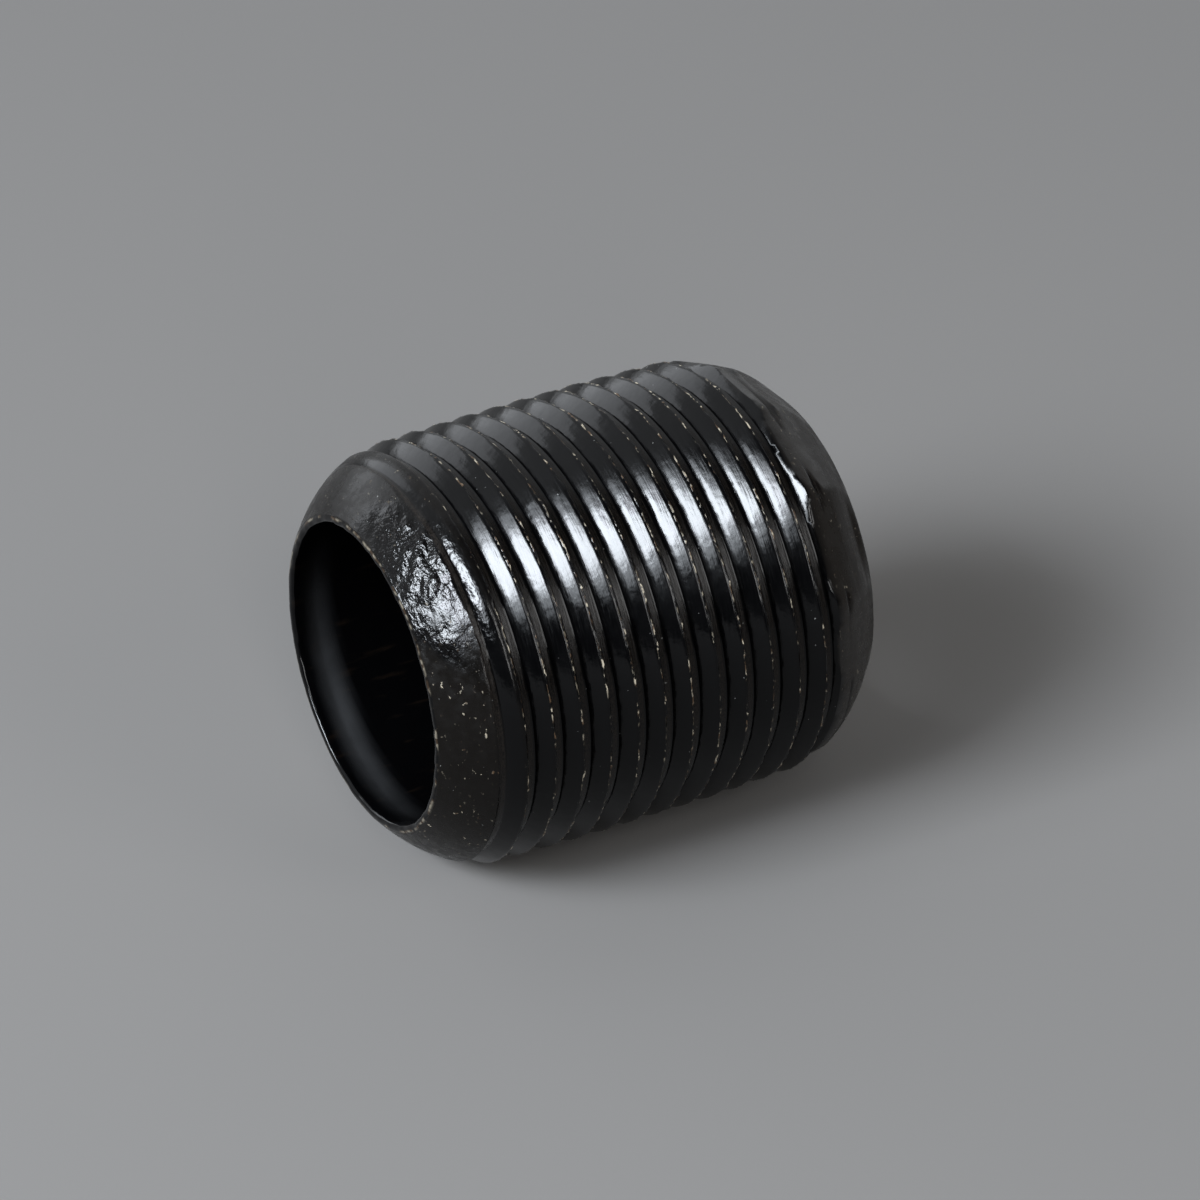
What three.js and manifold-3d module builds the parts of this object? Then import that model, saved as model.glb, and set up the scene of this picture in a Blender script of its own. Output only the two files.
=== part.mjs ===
// Close pipe nipple: one short length of steel pipe with a right-hand pipe
// thread cut over its whole outside from both ends, and both ends chamfered.
//
// Frame, in millimetres: X runs along the pipe's axis, +Z is up, and the
// origin is on the axis halfway between the two end faces. The nipple lies on
// its side. Everything below is worked out from the driving dimensions.

import * as THREE from 'three';
import Module from 'manifold-3d';
import { mergeVertices } from 'three/addons/utils/BufferGeometryUtils.js';

// ---------------------------------------------------------------- dimensions

const LENGTH = 37.4;              // end face to end face
const THREAD_DIAMETER = 33.25;    // over the crests of a 1 inch pipe thread
const THREADS_PER_INCH = 11;
const PITCH = 25.4 / THREADS_PER_INCH;

const THREAD_DEPTH = 0.4 * PITCH; // root to crest, square to the axis
const CREST_WIDTH = 0.10 * PITCH; // flat on top of each thread
const STEEP_WIDTH = 0.20 * PITCH; // flank that faces +X
const ROOT_WIDTH = 0.21 * PITCH;  // flat in the bottom of each groove; the rest of
                                  // the pitch is the shallow flank that faces -X
const THREAD_SHIFT = 0.55;        // where the thread starts, along the axis
const TAPER = 1 / 16;             // on diameter, narrowing towards each end
const TAPERED_LENGTH = 13;        // full-diameter crests start this far in

const BORE_DIAMETER = 24.4;       // inside of the extra-heavy pipe
const MOUTH_DIAMETER = 23.6;      // at the lip that the chamfer tool rolls in
const LIP_LENGTH = 0.9;           // depth of the lip along the bore
const LIP_RUN_OUT = 1.4;          // from the lip back to the full bore

const END_FACE_WIDTH = 0.5;       // flat ring left between mouth and chamfer

// The chamfer flattens out towards the thread. Each stretch has its length
// along the axis and its rise away from the axis.
const CHAMFER = [
  { length: 2.4, rise: 2.5 },
  { length: 1.2, rise: 0.9 },
  { length: 1.2, rise: 0.5 },
];
const SHOULDER_SLOPE = 0.22;      // rise over length past the last stretch

const SIDES = 40;                 // facets in one turn, with one facet down
const CLEARANCE = 1.5;            // how far cutting shapes pass the part
const RUN_OUT_TURNS = 2;          // thread carried past each end, then cut off

// ----------------------------------------------------------------- materials

const blackLacquer = new THREE.MeshStandardMaterial({
  color: new THREE.Color(0.012, 0.012, 0.013),
  roughness: 0.18,
  metalness: 0.0,
});

// ------------------------------------------------------------------- solids

const wasm = await Module();
wasm.setup();

function solidFromGeometry(geometry) {
  const bare = geometry.clone();
  bare.deleteAttribute('normal');
  bare.deleteAttribute('uv');
  const merged = mergeVertices(bare, 1e-4);
  return new wasm.Manifold(new wasm.Mesh({
    numProp: 3,
    vertProperties: new Float32Array(merged.attributes.position.array),
    triVerts: new Uint32Array(merged.index.array),
  }));
}

function geometryFromSolid(solid) {
  const mesh = solid.getMesh();
  const geometry = new THREE.BufferGeometry();
  geometry.setAttribute('position', new THREE.BufferAttribute(mesh.vertProperties, 3));
  geometry.setIndex(new THREE.BufferAttribute(mesh.triVerts, 1));
  return geometry;
}

// ---------------------------------------------------------------- the thread

// Radius of the crests at a distance x from the middle: the cone that rises
// from each end, stopped at the full thread diameter.
function crestRadius(x) {
  const fromEnd = LENGTH / 2 - Math.abs(x);
  const shortfall = Math.max(0, TAPERED_LENGTH - fromEnd) * TAPER / 2;
  return THREAD_DIAMETER / 2 - shortfall;
}

// One thread, from the start of its crest to the start of the next one:
// distance along the axis and height above the root.
function threadProfile() {
  return [
    { along: 0, height: THREAD_DEPTH },
    { along: CREST_WIDTH, height: THREAD_DEPTH },
    { along: CREST_WIDTH + STEEP_WIDTH, height: 0 },
    { along: CREST_WIDTH + STEEP_WIDTH + ROOT_WIDTH, height: 0 },
  ];
}

// Solid rod with the thread on it, longer than the part. The thread is a strip
// of profile points carried round the right-hand helix, where the last point
// of one turn joins the first point of the next. A fan to a point on the axis
// closes each end.
function threadedRod() {
  const profile = threadProfile();
  const turns = Math.ceil(LENGTH / PITCH) + 2 * RUN_OUT_TURNS;
  const steps = turns * SIDES;
  const start = -turns * PITCH / 2 + THREAD_SHIFT;
  const positions = [];
  for (let step = 0; step < steps; step += 1) {
    const angle = 2 * Math.PI * (step + 0.5) / SIDES;
    for (const point of profile) {
      const x = start + PITCH * step / SIDES + point.along;
      const radius = crestRadius(x) - THREAD_DEPTH + point.height;
      positions.push(x, radius * Math.cos(angle), radius * Math.sin(angle));
    }
  }

  const perStep = profile.length;
  const vertex = (step, point) => (point < perStep
    ? step * perStep + point
    : (step + SIDES) * perStep);
  const triangles = [];
  for (let step = 0; step < steps - SIDES - 1; step += 1) {
    for (let point = 0; point < perStep; point += 1) {
      const a = vertex(step, point);
      const b = vertex(step + 1, point);
      const c = vertex(step + 1, point + 1);
      const d = vertex(step, point + 1);
      triangles.push(a, b, c, a, c, d);
    }
  }

  // The open edge at each end is one turn of the helix plus one profile.
  const startApex = positions.length / 3;
  positions.push(start - PITCH, 0, 0);
  const endApex = startApex + 1;
  positions.push(-start + PITCH, 0, 0);
  for (let step = 0; step < SIDES; step += 1) {
    triangles.push(startApex, vertex(step + 1, 0), vertex(step, 0));
  }
  for (let point = 0; point < perStep; point += 1) {
    triangles.push(startApex, vertex(0, point), vertex(0, point + 1));
  }
  const last = steps - SIDES - 1;
  for (let step = last; step < steps - 1; step += 1) {
    triangles.push(endApex, vertex(step, 0), vertex(step + 1, 0));
  }
  for (let point = 0; point < perStep; point += 1) {
    triangles.push(endApex, vertex(last, point + 1), vertex(last, point));
  }

  return new wasm.Manifold(new wasm.Mesh({
    numProp: 3,
    vertProperties: new Float32Array(positions),
    triVerts: new Uint32Array(triangles),
  }));
}

// ------------------------------------------------- ends, chamfers and the bore

// Half of the section that the ends, chamfers and bore leave, from the outside
// round the end to the bore: radius and distance from the middle of the part.
function halfEnvelope() {
  const face = LENGTH / 2;
  const mouth = MOUTH_DIAMETER / 2;
  const clear = THREAD_DIAMETER / 2 + CLEARANCE;
  const outline = [[mouth + END_FACE_WIDTH, face]];
  for (const stretch of CHAMFER) {
    const [radius, x] = outline.at(-1);
    outline.push([radius + stretch.rise, x - stretch.length]);
  }
  const [radius, x] = outline.at(-1);
  outline.push([clear, x - (clear - radius) / SHOULDER_SLOPE]);
  outline.reverse();
  outline.push([mouth, face]);
  outline.push([mouth, face - LIP_LENGTH]);
  outline.push([BORE_DIAMETER / 2, face - LIP_LENGTH - LIP_RUN_OUT]);
  return outline;
}

function envelope() {
  const half = halfEnvelope();
  const right = half.map(([radius, x]) => new THREE.Vector2(radius, x));
  const left = half.map(([radius, x]) => new THREE.Vector2(radius, -x)).reverse();
  const outline = [...right, ...left];
  outline.push(outline[0].clone());
  const halfStep = Math.PI / SIDES;
  const ring = new THREE.LatheGeometry(outline, SIDES, halfStep);
  ring.rotateZ(-Math.PI / 2);     // the lathe's axis, Y, turns to X
  return solidFromGeometry(ring);
}

// ------------------------------------------------------------------ the part

const nippleBody = new THREE.Mesh(
  geometryFromSolid(threadedRod().intersect(envelope())),
  blackLacquer,
);
nippleBody.name = 'pipe_nipple';

const nipple = new THREE.Group();
nipple.add(nippleBody);

export default nipple;
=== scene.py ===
import math

import bpy
import numpy as np
from mathutils import Matrix, Vector


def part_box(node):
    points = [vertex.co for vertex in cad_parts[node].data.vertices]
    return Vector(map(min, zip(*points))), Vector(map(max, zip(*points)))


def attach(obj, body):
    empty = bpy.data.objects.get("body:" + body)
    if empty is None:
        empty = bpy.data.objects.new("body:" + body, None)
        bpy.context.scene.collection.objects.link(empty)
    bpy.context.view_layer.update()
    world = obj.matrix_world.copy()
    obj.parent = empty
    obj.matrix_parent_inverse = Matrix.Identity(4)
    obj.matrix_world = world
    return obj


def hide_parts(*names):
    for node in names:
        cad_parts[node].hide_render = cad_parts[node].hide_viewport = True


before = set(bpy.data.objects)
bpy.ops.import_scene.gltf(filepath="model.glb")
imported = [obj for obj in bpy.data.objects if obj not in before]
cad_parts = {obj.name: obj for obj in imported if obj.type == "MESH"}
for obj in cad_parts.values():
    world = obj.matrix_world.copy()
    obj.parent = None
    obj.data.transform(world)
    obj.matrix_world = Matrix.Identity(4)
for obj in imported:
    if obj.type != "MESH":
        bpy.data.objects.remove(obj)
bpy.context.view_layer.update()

# A close pipe nipple lying on its side on a pale floor. Lengths are in
# millimetres until a mesh, a light or the camera is made, and X is the pipe's
# axis. An angle round the pipe turns from +Y towards +Z.

MM = 0.001

# ------------------------------------------------------------------ sizes

LOW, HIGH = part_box("pipe_nipple")
LENGTH = (HIGH.x - LOW.x) / MM
HALF = LENGTH / 2
CREST_RADIUS = 16.625
PITCH = 25.4 / 11
DEPTH = 0.4 * PITCH             # root to crest
CREST_SHARE = 0.06              # flat crest, as a share of the pitch
STEEP_SHARE = 0.20              # flank that faces +X
ROOT_SHARE = 0.21               # groove bottom
SMOOTH_SHARE = 0.53             # flank that faces -X, with the lacquer pooled on it
GROOVE_SHARE = CREST_SHARE / 2 + STEEP_SHARE + ROOT_SHARE
TAPERED_LENGTH = 13.0           # crests reach full height this far in
TAPER = 1 / 32                  # on radius
MOUTH_RADIUS = 11.8
BORE_RADIUS = 12.2
FACE_RADIUS = 12.3              # where the end face meets the chamfer
CHAMFER_LENGTH = 8.0
CHAMFER_POWER = 2.36

# One crest passes this angle at this distance along the axis.
CREST_ANGLE = math.radians(143)
CREST_X = -13.45

# --------------------------------------------------------- smooth noise


def ease(value):
    value = np.clip(value, 0.0, 1.0)
    return value * value * (3 - 2 * value)


def bump(value, middle, half_width):
    """1 at the middle, easing to 0 at half_width on either side."""
    return ease(1 - np.abs(value - middle) / half_width)


def turn_from(angle, middle):
    """Signed difference of two angles, in degrees, for angles in radians."""
    return (np.degrees(angle) - middle + 180) % 360 - 180


def ring_noise(seed, angle, along, cells_round, cell_length):
    """Value noise from -1 to 1 that joins up after a full turn."""
    rng = np.random.default_rng(seed)
    v = (along - along.min()) / cell_length
    rows = int(v.max()) + 2
    grid = rng.uniform(-1, 1, (rows, cells_round))
    u = (angle / (2 * np.pi)) % 1.0 * cells_round
    u, v = np.broadcast_arrays(u, v)
    column = np.floor(u).astype(int)
    row = np.floor(v).astype(int)
    fu = ease(u - column)
    fv = ease(v - row)
    column %= cells_round
    beside = (column + 1) % cells_round
    low = grid[row, column] * (1 - fu) + grid[row, beside] * fu
    high = grid[row + 1, column] * (1 - fu) + grid[row + 1, beside] * fu
    return low * (1 - fv) + high * fv


# ------------------------------------------------------- shape of the steel


def chamfer_radius(depth_in):
    """Radius that the chamfer leaves this far in from an end face."""
    left = np.clip(1 - depth_in / CHAMFER_LENGTH, 0, 1)
    return CREST_RADIUS - (CREST_RADIUS - FACE_RADIUS) * left ** CHAMFER_POWER


# The far chamfer has flats between these angles, in degrees.
FAR_CORNERS = (52, 77, 101, 130, 163, 190)
FAR_FLATNESS = 0.9              # 1 for flats that are quite flat
FLATS_REACH = 7.5               # from the end face, fading over the next length
FLATS_FADE = 2.5
FLATS_START = 1.0


def flat_drop(x, angle, radius):
    """How far the flats on the far chamfer lie below the round form."""
    depth_in = HALF - x
    reach = ease((FLATS_REACH - depth_in) / FLATS_FADE) * ease(depth_in / FLATS_START)
    reach = np.where(x > 0, reach, 0.0)
    drop = np.zeros_like(radius)
    for first, last in zip(FAR_CORNERS, FAR_CORNERS[1:]):
        half_width = (last - first) / 2
        turn = np.abs(turn_from(angle, (first + last) / 2))
        across = np.radians(np.minimum(turn, half_width))
        chord = np.cos(np.radians(half_width)) / np.cos(across)
        drop += FAR_FLATNESS * radius * (1 - chord) * (turn < half_width)
    return drop * reach


def crest_radius(depth_in):
    return CREST_RADIUS - np.clip(TAPERED_LENGTH - depth_in, 0, None) * TAPER


# The lacquer rounds the shallow flank. Reaches are parts of the flank's width and
# the rest are parts of the thread's depth.
SWELL = 0.012                   # the flank bulges
CORNER_REACH = 0.07             # its top is rounded off
CORNER_DROP = 0.03
FILLET_REACH = 0.09             # the corner at its foot is filled
FILLET_RISE = 0.035


def thread_height(share):
    """Height above the root, from 0 to 1, this share of the pitch past the crest's middle."""
    share = share % 1.0
    past_crest = (share - CREST_SHARE / 2) / STEEP_SHARE
    before_crest = (1 - CREST_SHARE / 2 - share) / SMOOTH_SHARE
    swell = SWELL * np.sin(np.pi * np.clip(before_crest, 0, 1))
    corner = np.clip(1 - np.abs(before_crest) / CORNER_REACH, 0, None)
    smooth = 1 - before_crest + swell - CORNER_DROP * corner ** 2
    foot = np.clip(1 - np.abs(before_crest - 1) / FILLET_REACH, 0, None)
    smooth = np.maximum(smooth, 0) + FILLET_RISE * foot ** 2
    return np.clip(np.where(share < 0.5, np.maximum(1 - past_crest, 0), smooth), 0, 1)


# Rows across one thread: over the crest, in halves of its width; down the steep
# flank, over the root and up the shallow flank, as parts of each.
CREST_ROWS = (-1.0, 0.0, 1.0)
STEEP_ROWS = (0.2, 0.7)
ROOT_ROWS = (0.0, 0.4, 0.8)
SMOOTH_ROWS = (0.0, 0.06, 0.14, 0.5, 0.86, 0.95)
ROWS = len(CREST_ROWS) + len(STEEP_ROWS) + len(ROOT_ROWS) + len(SMOOTH_ROWS)
COLUMNS = 264
TURNS = 27                      # of the one spiral strip that makes the surface
CREST_FADE = 0.3                # crests lower than this have their rows spread evenly


def row_shares(crest_height):
    """Where each row lies across the thread, for crests cut to this height."""
    cut = 1 - crest_height
    left = CREST_SHARE / 2 + SMOOTH_SHARE * cut
    right = CREST_SHARE / 2 + STEEP_SHARE * cut
    steep_foot = CREST_SHARE / 2 + STEEP_SHARE
    smooth_foot = steep_foot + ROOT_SHARE
    shares = [row * (left if row < 0 else right) for row in CREST_ROWS]
    shares += [right + (steep_foot - right) * part for part in STEEP_ROWS]
    shares += [steep_foot + ROOT_SHARE * part + 0 * cut for part in ROOT_ROWS]
    shares += [smooth_foot + SMOOTH_SHARE * part * crest_height for part in SMOOTH_ROWS]
    even = [(row - len(CREST_ROWS) // 2) / ROWS + 0 * cut for row in range(ROWS)]
    full = ease(crest_height / CREST_FADE)
    return [e * (1 - full) + s * full for e, s in zip(even, shares)]


THREAD_END = 1.8                # the thread's rows take over this far in
CHAMFER_STRIP = 4.2             # strip length from there out to the end face
CHAMFER_END = 0.10              # how far in the chamfer stops, short of the rounded corner
CHAMFER_STEPS = 8


def end_outline():
    """Chamfer, end face, lip and bore of one end: strip length, depth in, radius."""
    points = []
    for step in range(CHAMFER_STEPS + 1):
        part = step / CHAMFER_STEPS
        depth_in = THREAD_END * (1 - part) + CHAMFER_END * part
        points.append((CHAMFER_STRIP * part, depth_in, float(chamfer_radius(depth_in))))
    strip = CHAMFER_STRIP
    for share, depth_in, radius in (
        (0.7, 0.025, FACE_RADIUS + 0.01),
        (1.0, 0.0, FACE_RADIUS - 0.08),
        (1.6, 0.0, MOUTH_RADIUS + 0.22),
        (2.0, 0.07, MOUTH_RADIUS + 0.07),
        (2.4, 0.22, MOUTH_RADIUS),
        (3.4, 0.9, MOUTH_RADIUS + 0.02),
        (3.8, 1.3, MOUTH_RADIUS + 0.12),
        (4.6, 2.1, BORE_RADIUS - 0.06),
        (5.2, 2.9, BORE_RADIUS),
    ):
        points.append((strip + share, depth_in, radius))
    return points


def loop_outline():
    """Strip length, x and radius, from the thread's right end round to its left."""
    right = end_outline()
    total = TURNS * PITCH - 2 * (HALF - THREAD_END)
    points = [(strip, HALF - depth_in, radius) for strip, depth_in, radius in right]
    for strip, depth_in, radius in reversed(right):
        points.append((total - strip, depth_in - HALF, radius))
    return np.array(points)


# The torn patch on the near chamfer, and the painted reflection inside the near mouth (a
# lighter grey strip on the bore wall): the middle and half width of each, in degrees round the
# pipe and millimetres in.
TORN_ANGLE = 119
TORN_WIDTH = 44
TORN_SLANT = 3.0                # degrees for each millimetre in
TORN_DEPTH = 1.7
TORN_LENGTH = 4.2
PAINTED_REFLECTION_ANGLE = 312
PAINTED_REFLECTION_WIDTH = 84
PAINTED_REFLECTION_DEPTH = 2.3
PAINTED_REFLECTION_LENGTH = 1.7
EDGE_REACH = 0.07               # of the nicks from a crest's far edge, in pitches
CUT_STEP = 0.05                 # a thread cut deeper than this counts as chamfer


def build_steel():
    """Where the strip's points lie (x, radius and angle), and the zones they are in."""
    angle = np.arange(COLUMNS) * 2 * np.pi / COLUMNS
    turn = np.arange(TURNS)[:, None]
    start = CREST_X - PITCH * CREST_ANGLE / (2 * np.pi)
    first = math.ceil((THREAD_END - HALF - start) / PITCH) - 1
    crest_x = start + PITCH * (first + turn) + PITCH * angle[None] / (2 * np.pi)

    def height_at(x):
        depth_in = np.clip(HALF - np.abs(x), 0, None)
        root = crest_radius(depth_in) - DEPTH
        top = np.minimum(crest_radius(depth_in), chamfer_radius(depth_in))
        return np.clip((top - root) / DEPTH, 0, 1)

    here = row_shares(height_at(crest_x))
    after = row_shares(height_at(crest_x + PITCH))
    # The rows from the root's middle on belong to the next crest.
    root_middle = len(CREST_ROWS) + len(STEEP_ROWS) + 2
    share = np.stack([(here if row < root_middle else after)[row] for row in range(ROWS)], 1)
    strip = crest_x[:, None, :] + PITCH * share
    share = share.reshape(-1, COLUMNS)
    strip = strip.reshape(-1, COLUMNS)
    angle = np.broadcast_to(angle, strip.shape)

    # Beyond the thread the strip goes round the end, through the bore and back.
    reach = HALF - THREAD_END
    loop = loop_outline()
    around = TURNS * PITCH - 2 * reach
    past = (strip - reach) % (TURNS * PITCH)
    outside = past > around
    x_round = np.interp(past, loop[:, 0], loop[:, 1])
    r_round = np.interp(past, loop[:, 0], loop[:, 2])
    x_thread = past - TURNS * PITCH + reach
    x = np.where(outside, x_thread, x_round)
    depth_in = HALF - np.abs(x)
    near_strip = (past > around - CHAMFER_STRIP) & (past < around)
    outer = outside | (past < CHAMFER_STRIP) | near_strip
    top = chamfer_radius(depth_in)
    top = top - flat_drop(x, angle, top)
    thread = crest_radius(depth_in) - DEPTH * (1 - thread_height(share))
    radius = np.where(outside, np.minimum(thread, top), np.where(outer, top, r_round))
    cut = np.where(outside, ease((thread - top) / CUT_STEP), outer * 1.0)
    from_edge = (share - CREST_SHARE / 2 + 0.5) % 1.0 - 0.5
    edge = bump(from_edge, 0.0, EDGE_REACH) * (1 - 0.9 * ease(cut / 0.5))
    edge = np.where(outside, edge, 0.0)
    past_crest = share % 1.0
    in_groove = ease((past_crest - 0.04) / 0.05) * ease((GROOVE_SHARE - past_crest) / 0.03)
    near = np.where(x < 0, 1.0, 0.0)
    patchy = 0.75 + 0.5 * ring_noise(16, angle, x, 30, 1.5)
    slanted_turn = turn_from(angle, TORN_ANGLE) - TORN_SLANT * (depth_in - 2)
    torn = ease(1.8 * bump(slanted_turn, 0, TORN_WIDTH) * patchy)
    torn = torn * bump(depth_in, TORN_DEPTH, TORN_LENGTH) * outer * near
    # Painted reflection: a lighter grey strip on the bore wall inside the near mouth.
    inside = ~outer & (radius < MOUTH_RADIUS + 0.5)
    painted_bore_reflection = bump(depth_in, PAINTED_REFLECTION_DEPTH, PAINTED_REFLECTION_LENGTH)
    painted_bore_reflection = inside * near * painted_bore_reflection * bump(turn_from(angle, PAINTED_REFLECTION_ANGLE), 0, PAINTED_REFLECTION_WIDTH)
    fields = {
        "outer": outer * 1.0,
        "groove": np.where(outside, in_groove * (1 - cut), 0.0),
        "edge": edge,
        "torn": torn,
        "chamfer": cut * ease((6 - depth_in) / 2),
        "rim": bump(radius, FACE_RADIUS, 0.16) * ease((0.2 - depth_in) / 0.1),
        "painted_bore_reflection": painted_bore_reflection,
        "near": near,
    }
    x, radius = add_marks(x, radius, angle, outer, cut, edge, torn)
    return x, radius, angle, fields


RING_SPACING = 0.5


def add_marks(x, radius, angle, outer, cut, edge, torn):
    """The ideal shape with what the die, the chamfering tool and the lacquer left on it."""
    depth_in = HALF - np.abs(x)
    coarse = ring_noise(11, angle, x, 14, 2.6)
    middle = ring_noise(12, angle, x, 48, 0.9)
    fine = ring_noise(13, angle, x, COLUMNS // 2, 0.35)
    finest = ring_noise(14, angle, x, COLUMNS, 0.18)
    change = 0.012 * coarse * outer

    # The die tore the far edge of each crest into nicks and small burrs.
    change += edge * (0.065 * finest + 0.050 * fine - 0.028)
    slip = edge * (0.05 * fine + 0.03 * finest)

    # The chamfering tool left fine rings, and tore the steel in one place.
    rings = np.sin(2 * np.pi * depth_in / RING_SPACING) * (0.6 + 0.4 * middle)
    change += 0.006 * rings * cut
    slanted = ring_noise(15, angle + 0.09 * depth_in, x, 110, 1.3)
    change += torn * (0.10 * middle + 0.15 * slanted + 0.06 * fine)

    # The far chamfer is a little lumpy.
    change -= cut * (x > 0) * 0.04 * ease(middle)

    # The lip at each mouth is a rolled burr.
    lip = ~outer & (depth_in < 0.9)
    change += lip * (0.035 * middle + 0.03 * fine)
    slip -= np.sign(x) * (~outer) * bump(depth_in, 0, 0.2) * 0.05 * ease(fine * 0.5 + 0.5)
    return x + slip, radius + change


def spiral_faces():
    """Four corners for each face of the strip, whose last turn meets its first."""
    count = TURNS * ROWS
    row = np.arange(count)[:, None]
    column = np.arange(COLUMNS)[None]

    def vertex(r, c):
        wrapped = c >= COLUMNS
        r = (r + np.where(wrapped, ROWS, 0)) % count
        c = np.where(wrapped, c - COLUMNS, c)
        return r * COLUMNS + c

    corners = [vertex(row, column), vertex(row, column + 1),
               vertex(row + 1, column + 1), vertex(row + 1, column)]
    full = [np.broadcast_to(corner, (count, COLUMNS)) for corner in corners]
    return np.stack(full, -1).reshape(-1, 4)


def mesh_object(name, points, faces):
    mesh = bpy.data.meshes.new(name)
    mesh.vertices.add(len(points))
    mesh.vertices.foreach_set("co", (points * MM).astype(np.float32).ravel())
    mesh.loops.add(faces.size)
    mesh.loops.foreach_set("vertex_index", faces.astype(np.int32).ravel())
    mesh.polygons.add(len(faces))
    mesh.polygons.foreach_set("loop_start", (np.arange(len(faces)) * 4).astype(np.int32))
    mesh.polygons.foreach_set("loop_total", np.full(len(faces), 4, np.int32))
    mesh.update(calc_edges=True)
    mesh.validate()
    mesh.shade_smooth()
    thing = bpy.data.objects.new(name, mesh)
    bpy.context.scene.collection.objects.link(thing)
    return thing


def add_field(thing, name, values):
    field = thing.data.attributes.new(name, "FLOAT", "POINT")
    field.data.foreach_set("value", np.asarray(values, np.float32).ravel())


SHARP_ANGLE = math.radians(40)

x, radius, angle, fields = build_steel()
points = np.stack([x, radius * np.cos(angle), radius * np.sin(angle)], -1).reshape(-1, 3)
nipple = mesh_object("lacquered_pipe", points, spiral_faces())
nipple.data.set_sharp_from_angle(angle=SHARP_ANGLE)
for name, values in fields.items():
    add_field(nipple, name, values)

# ---------------------------------------------------------------- materials


class Graph:
    """Adds and joins the nodes of one material."""

    def __init__(self, name):
        self.material = bpy.data.materials.new(name)
        self.material.use_nodes = True
        self.tree = self.material.node_tree
        self.shader = self.tree.nodes["Principled BSDF"]
        self.place = self.tree.nodes.new("ShaderNodeTexCoord").outputs["Object"]

    def plug(self, socket, value):
        if isinstance(value, bpy.types.NodeSocket):
            self.tree.links.new(value, socket)
        else:
            socket.default_value = value

    def field(self, name):
        node = self.tree.nodes.new("ShaderNodeAttribute")
        node.attribute_name = name
        return node.outputs["Fac"]

    def math(self, operation, a, b=0.0):
        node = self.tree.nodes.new("ShaderNodeMath")
        node.operation = operation
        self.plug(node.inputs[0], a)
        self.plug(node.inputs[1], b)
        return node.outputs[0]

    def times(self, *factors):
        result = factors[0]
        for factor in factors[1:]:
            result = self.math("MULTIPLY", result, factor)
        return result

    def noise(self, along, across, detail=2.0, seed=0.0):
        """Noise with this many cells per millimetre along the pipe and across it."""
        scale = self.tree.nodes.new("ShaderNodeVectorMath")
        scale.operation = "MULTIPLY_ADD"
        self.plug(scale.inputs[0], self.place)
        scale.inputs[1].default_value = (along / MM, across / MM, across / MM)
        scale.inputs[2].default_value = (seed, seed, seed)
        node = self.tree.nodes.new("ShaderNodeTexNoise")
        node.inputs["Scale"].default_value = 1.0
        node.inputs["Detail"].default_value = detail
        self.tree.links.new(scale.outputs[0], node.inputs["Vector"])
        return node.outputs["Fac"]

    def span(self, value, low, high, start=0.0, end=1.0):
        """Start below low, end above high, and a smooth change between them."""
        node = self.tree.nodes.new("ShaderNodeMapRange")
        node.interpolation_type = "SMOOTHSTEP"
        self.plug(node.inputs["Value"], value)
        node.inputs["From Min"].default_value = low
        node.inputs["From Max"].default_value = high
        node.inputs["To Min"].default_value = start
        node.inputs["To Max"].default_value = end
        return node.outputs[0]

    def mix(self, share, a, b):
        node = self.tree.nodes.new("ShaderNodeMix")
        node.data_type = "RGBA"
        self.plug(node.inputs[0], share)
        self.plug(node.inputs[6], a)
        self.plug(node.inputs[7], b)
        return node.outputs[2]

    def blend(self, share, a, b):
        """The same as mix, for plain numbers."""
        node = self.tree.nodes.new("ShaderNodeMix")
        self.plug(node.inputs[0], share)
        self.plug(node.inputs[2], a)
        self.plug(node.inputs[3], b)
        return node.outputs[0]

    def bump(self, height, depth, under=None):
        """Relief of this depth in millimetres, over any relief already there."""
        node = self.tree.nodes.new("ShaderNodeBump")
        node.inputs["Distance"].default_value = depth * MM
        self.plug(node.inputs["Height"], height)
        if under is not None:
            self.plug(node.inputs["Normal"], under)
        return node.outputs[0]


BLACK = (0.0005, 0.0005, 0.0006, 1)
GROOVE = (0.0075, 0.0058, 0.0046, 1)
SOOT = (0.0023, 0.0019, 0.0016, 1)
BROWN_SOOT = (0.0120, 0.0104, 0.0090, 1)
CREAM = (0.24, 0.21, 0.16, 1)
RUST = (0.048, 0.029, 0.016, 1)
DUST = (0.075, 0.075, 0.072, 1)
# Grey of the reflection painted on the bore wall inside the near mouth.
PAINTED_REFLECTION_GREY = (0.019, 0.0195, 0.0205, 1)
LACQUER_IOR = 1.30


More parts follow.
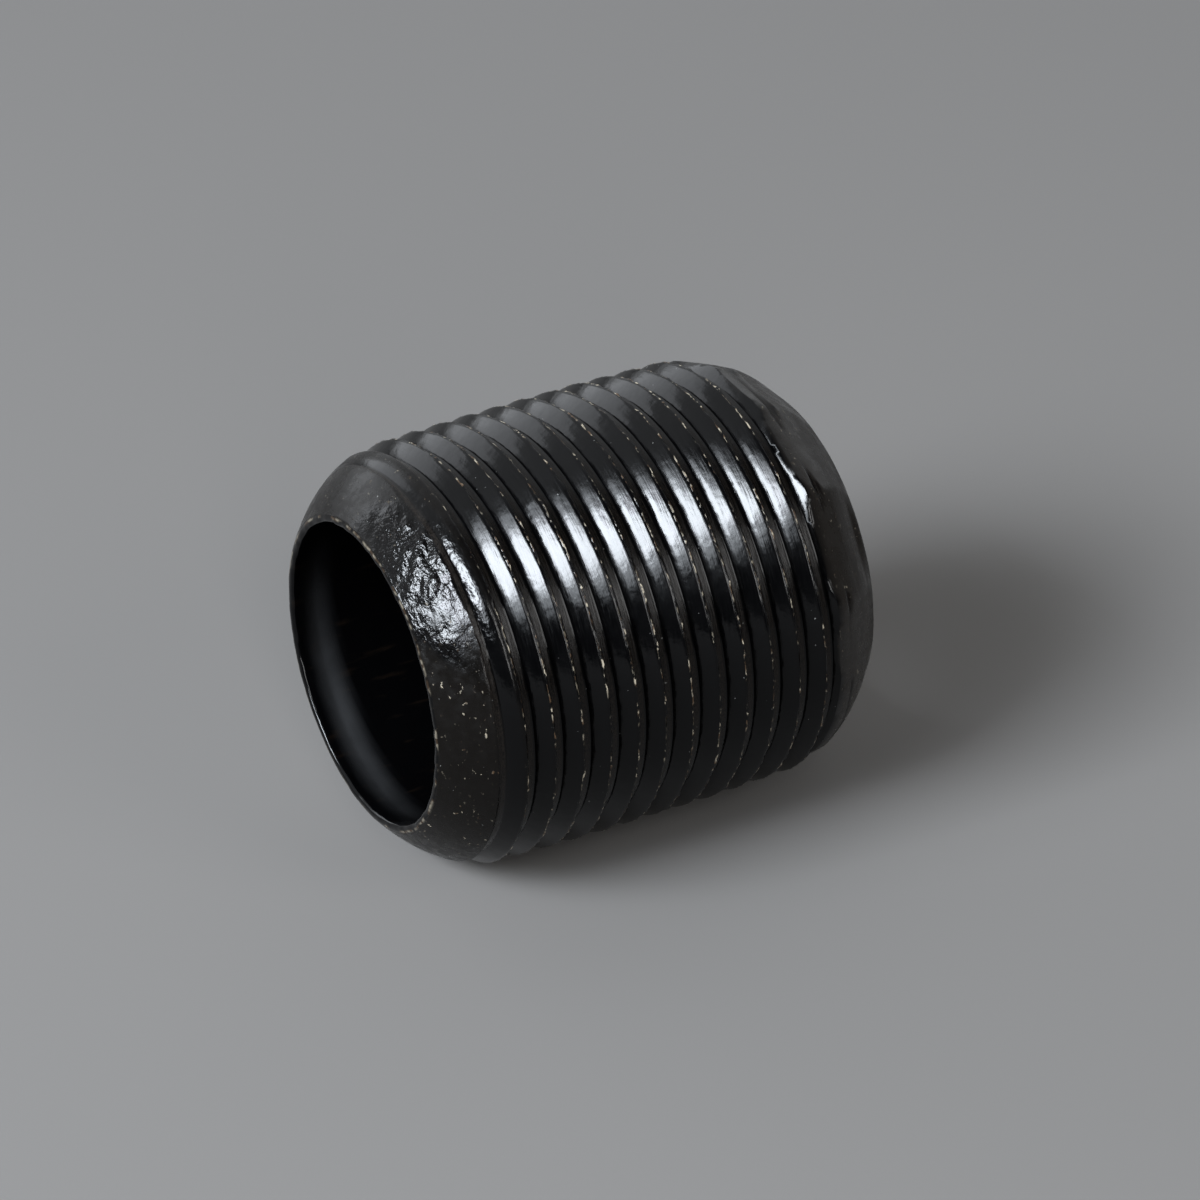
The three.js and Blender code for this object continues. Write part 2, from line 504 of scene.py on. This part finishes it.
def lacquer():
    """Glossy black lacquer, dull on chamfers and in grooves, with bare steel and dust."""
    g = Graph("black_lacquer")
    outer = g.field("outer")
    chamfer = g.field("chamfer")
    near = g.field("near")
    torn = g.field("torn")
    edge = g.field("edge")
    groove = g.field("groove")

    streaks = g.noise(11.0, 0.5, 3.0)
    peel = g.noise(1.1, 1.1, 2.0, 3.0)
    grain = g.noise(9.0, 9.0, 3.0, 7.0)
    patches = g.noise(0.45, 0.30, 2.0, 11.0)

    # Bare steel shows as dashes along the torn edges and as flecks on the chamfers
    # and the rims, and a few bits of dust lie on the outside.
    dashes = g.times(g.span(edge, 0.12, 0.65), g.span(g.noise(4.0, 2.0, 4.0, 21.0), 0.49, 0.58))
    dashes = g.times(dashes, g.span(g.noise(0.5, 0.5, 2.0, 91.0), 0.40, 0.54))
    flecks = g.times(g.span(g.noise(4.0, 2.4, 4.0, 31.0), 0.645, 0.71), chamfer)
    flecks = g.times(flecks, g.blend(near, 0.6, 1.0), g.span(torn, 0.05, 0.4, 1.0, 0.35))
    flecks = g.times(flecks, g.span(g.noise(0.45, 0.35, 2.0, 96.0), 0.44, 0.62, 0.12, 0.9))
    rim = g.times(g.field("rim"), g.span(g.noise(1.0, 0.7, 2.0, 41.0), 0.46, 0.58))
    bits = g.times(g.span(g.noise(3.0, 3.0, 1.0, 51.0), 0.79, 0.82), outer)
    bare = g.math("MAXIMUM", dashes, g.math("MAXIMUM", flecks, g.times(rim, 0.4)))
    tint = g.mix(g.span(g.noise(1.6, 1.6, 1.0, 61.0), 0.42, 0.60), CREAM, RUST)

    coat = g.mix(g.times(groove, g.span(grain, 0.35, 0.60)), BLACK, GROOVE)
    soot = g.mix(near, BROWN_SOOT, SOOT)
    coat = g.mix(g.times(chamfer, g.span(torn, 0.1, 0.5, 1.0, 0.2)), coat, soot)
    stains = g.span(g.noise(0.25, 1.2, 2.0, 71.0), 0.58, 0.76, 0.0, 0.05)
    coat = g.mix(g.times(stains, g.math("SUBTRACT", 1.0, outer)), coat, RUST)
    # Painted reflection: a lighter grey strip on the bore wall inside the near mouth.
    painted_bore_reflection = g.times(g.field("painted_bore_reflection"), g.span(patches, 0.2, 0.7, 0.7, 1.0))
    coat = g.mix(painted_bore_reflection, coat, PAINTED_REFLECTION_GREY)
    colour = g.mix(bits, g.mix(bare, coat, tint), DUST)
    g.plug(g.shader.inputs["Base Color"], colour)

    gloss = g.blend(g.span(patches, 0.35, 0.65), g.span(streaks, 0.3, 0.75, 0.08, 0.19), 0.18)
    gloss = g.blend(chamfer, gloss, g.span(peel, 0.3, 0.7, 0.20, 0.38))
    gloss = g.blend(torn, gloss, 0.09)
    gloss = g.blend(groove, gloss, g.span(streaks, 0.3, 0.7, 0.20, 0.42))
    gloss = g.blend(g.span(edge, 0.3, 0.8), gloss, 0.36)
    gloss = g.blend(g.math("MAXIMUM", bare, bits), gloss, 0.38)
    g.plug(g.shader.inputs["Roughness"], gloss)
    g.shader.inputs["IOR"].default_value = LACQUER_IOR
    dull = g.times(chamfer, near, g.span(torn, 0.05, 0.4, 1.0, 0.0))
    g.plug(g.shader.inputs["Specular IOR Level"], g.blend(dull, 0.5, 0.36))

    relief = g.bump(g.times(streaks, outer, g.blend(groove, 0.35, 1.0)), 0.017)
    relief = g.bump(peel, 0.020, relief)
    ragged = g.span(edge, 0.05, 0.6)
    rough = g.math("MAXIMUM", g.times(groove, 0.25), ragged)
    rough = g.math("MAXIMUM", rough, g.times(chamfer, 0.6))
    relief = g.bump(g.times(grain, rough), 0.022, relief)
    relief = g.bump(g.times(g.noise(1.7, 1.1, 3.0, 81.0), torn), 0.24, relief)
    relief = g.bump(bare, 0.015, relief)
    g.plug(g.shader.inputs["Normal"], relief)
    return g.material


nipple.data.materials.append(lacquer())
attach(nipple, "root")
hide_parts("pipe_nipple")

# ---------------------------------------------------------- floor and light

FLOOR_Z = -CREST_RADIUS * MM
FLOOR_HALF = 3.0
FLOOR_GREY = (0.1145, 0.110, 0.106, 1)


def floor():
    corners = [(-FLOOR_HALF, -FLOOR_HALF, 0), (FLOOR_HALF, -FLOOR_HALF, 0),
               (FLOOR_HALF, FLOOR_HALF, 0), (-FLOOR_HALF, FLOOR_HALF, 0)]
    mesh = bpy.data.meshes.new("floor")
    mesh.from_pydata(corners, [], [(0, 1, 2, 3)])
    plane = bpy.data.objects.new("floor", mesh)
    plane.location.z = FLOOR_Z
    bpy.context.scene.collection.objects.link(plane)
    material = bpy.data.materials.new("floor")
    material.use_nodes = True
    shader = material.node_tree.nodes["Principled BSDF"]
    shader.inputs["Base Color"].default_value = FLOOR_GREY
    shader.inputs["Roughness"].default_value = 0.9
    shader.inputs["Specular IOR Level"].default_value = 0.1
    mesh.materials.append(material)
    return plane


def panel(name, place, width, height, power, colour=(1, 1, 1)):
    """Soft rectangular light at a place in metres. It faces the part."""
    light = bpy.data.lights.new(name, "AREA")
    light.shape = "RECTANGLE"
    light.size = width
    light.size_y = height
    light.energy = power
    light.color = colour
    lamp = bpy.data.objects.new(name, light)
    lamp.location = place
    lamp.rotation_euler = Vector(place).to_track_quat("Z", "Y").to_euler()
    bpy.context.scene.collection.objects.link(lamp)


COOL = (0.86, 0.925, 1.0)

floor()
panel("left", (-0.78, -0.15, 0.60), 0.46, 0.30, 23, COOL)
panel("left_halo", (-0.80, -0.154, 0.616), 0.78, 0.50, 14, COOL)
panel("front", (0.39, -0.73, 0.56), 0.34, 0.40, 2.4)
panel("front_left", (-0.30, -0.81, 0.50), 0.20, 0.60, 4.5)
panel("back", (-0.33, 0.89, 0.31), 0.62, 0.50, 1.8, (0.90, 0.94, 1.0))


DARK_SIDE = 0.05                # room light in front of the part, and behind it
BRIGHT_SIDE = 0.85


def studio():
    """Dim room: nearly dark in front of the part and a soft grey behind it."""
    world = bpy.data.worlds.new("studio")
    world.use_nodes = True
    tree = world.node_tree
    place = tree.nodes.new("ShaderNodeTexCoord")
    split = tree.nodes.new("ShaderNodeSeparateXYZ")
    ramp = tree.nodes.new("ShaderNodeMapRange")
    ramp.interpolation_type = "SMOOTHSTEP"
    ramp.inputs["From Min"].default_value = -0.05
    ramp.inputs["From Max"].default_value = 0.42
    ramp.inputs["To Min"].default_value = DARK_SIDE
    ramp.inputs["To Max"].default_value = BRIGHT_SIDE
    tree.links.new(place.outputs["Generated"], split.inputs[0])
    tree.links.new(split.outputs["Y"], ramp.inputs["Value"])
    tree.links.new(ramp.outputs[0], tree.nodes["Background"].inputs["Strength"])
    tree.nodes["Background"].inputs["Color"].default_value = (0.94, 0.97, 1, 1)
    bpy.context.scene.world = world


studio()

bpy.context.scene.view_settings.view_transform = "Standard"

# ------------------------------------------------------------------- camera

VIEW_AZIMUTH = math.radians(-28.4)
VIEW_ELEVATION = math.radians(33.6)
VIEW_DISTANCE = 0.5610
AIM_RIGHT = 0.00150             # the view's centre, from the part's centre
AIM_UP = 0.00069
LENS = 221.0
SENSOR = 36.0


def camera():
    right = Vector((math.cos(VIEW_AZIMUTH), math.sin(VIEW_AZIMUTH), 0))
    back = Vector((
        math.sin(VIEW_AZIMUTH) * math.cos(VIEW_ELEVATION),
        -math.cos(VIEW_AZIMUTH) * math.cos(VIEW_ELEVATION),
        math.sin(VIEW_ELEVATION),
    ))
    up = back.cross(right)
    data = bpy.data.cameras.new("camera")
    data.lens = LENS
    data.sensor_width = SENSOR
    thing = bpy.data.objects.new("camera", data)
    place = right * AIM_RIGHT + up * AIM_UP + back * VIEW_DISTANCE
    turn = Matrix((right, up, back)).transposed()
    thing.matrix_world = Matrix.Translation(place) @ turn.to_4x4()
    bpy.context.scene.collection.objects.link(thing)
    bpy.context.scene.camera = thing


camera()
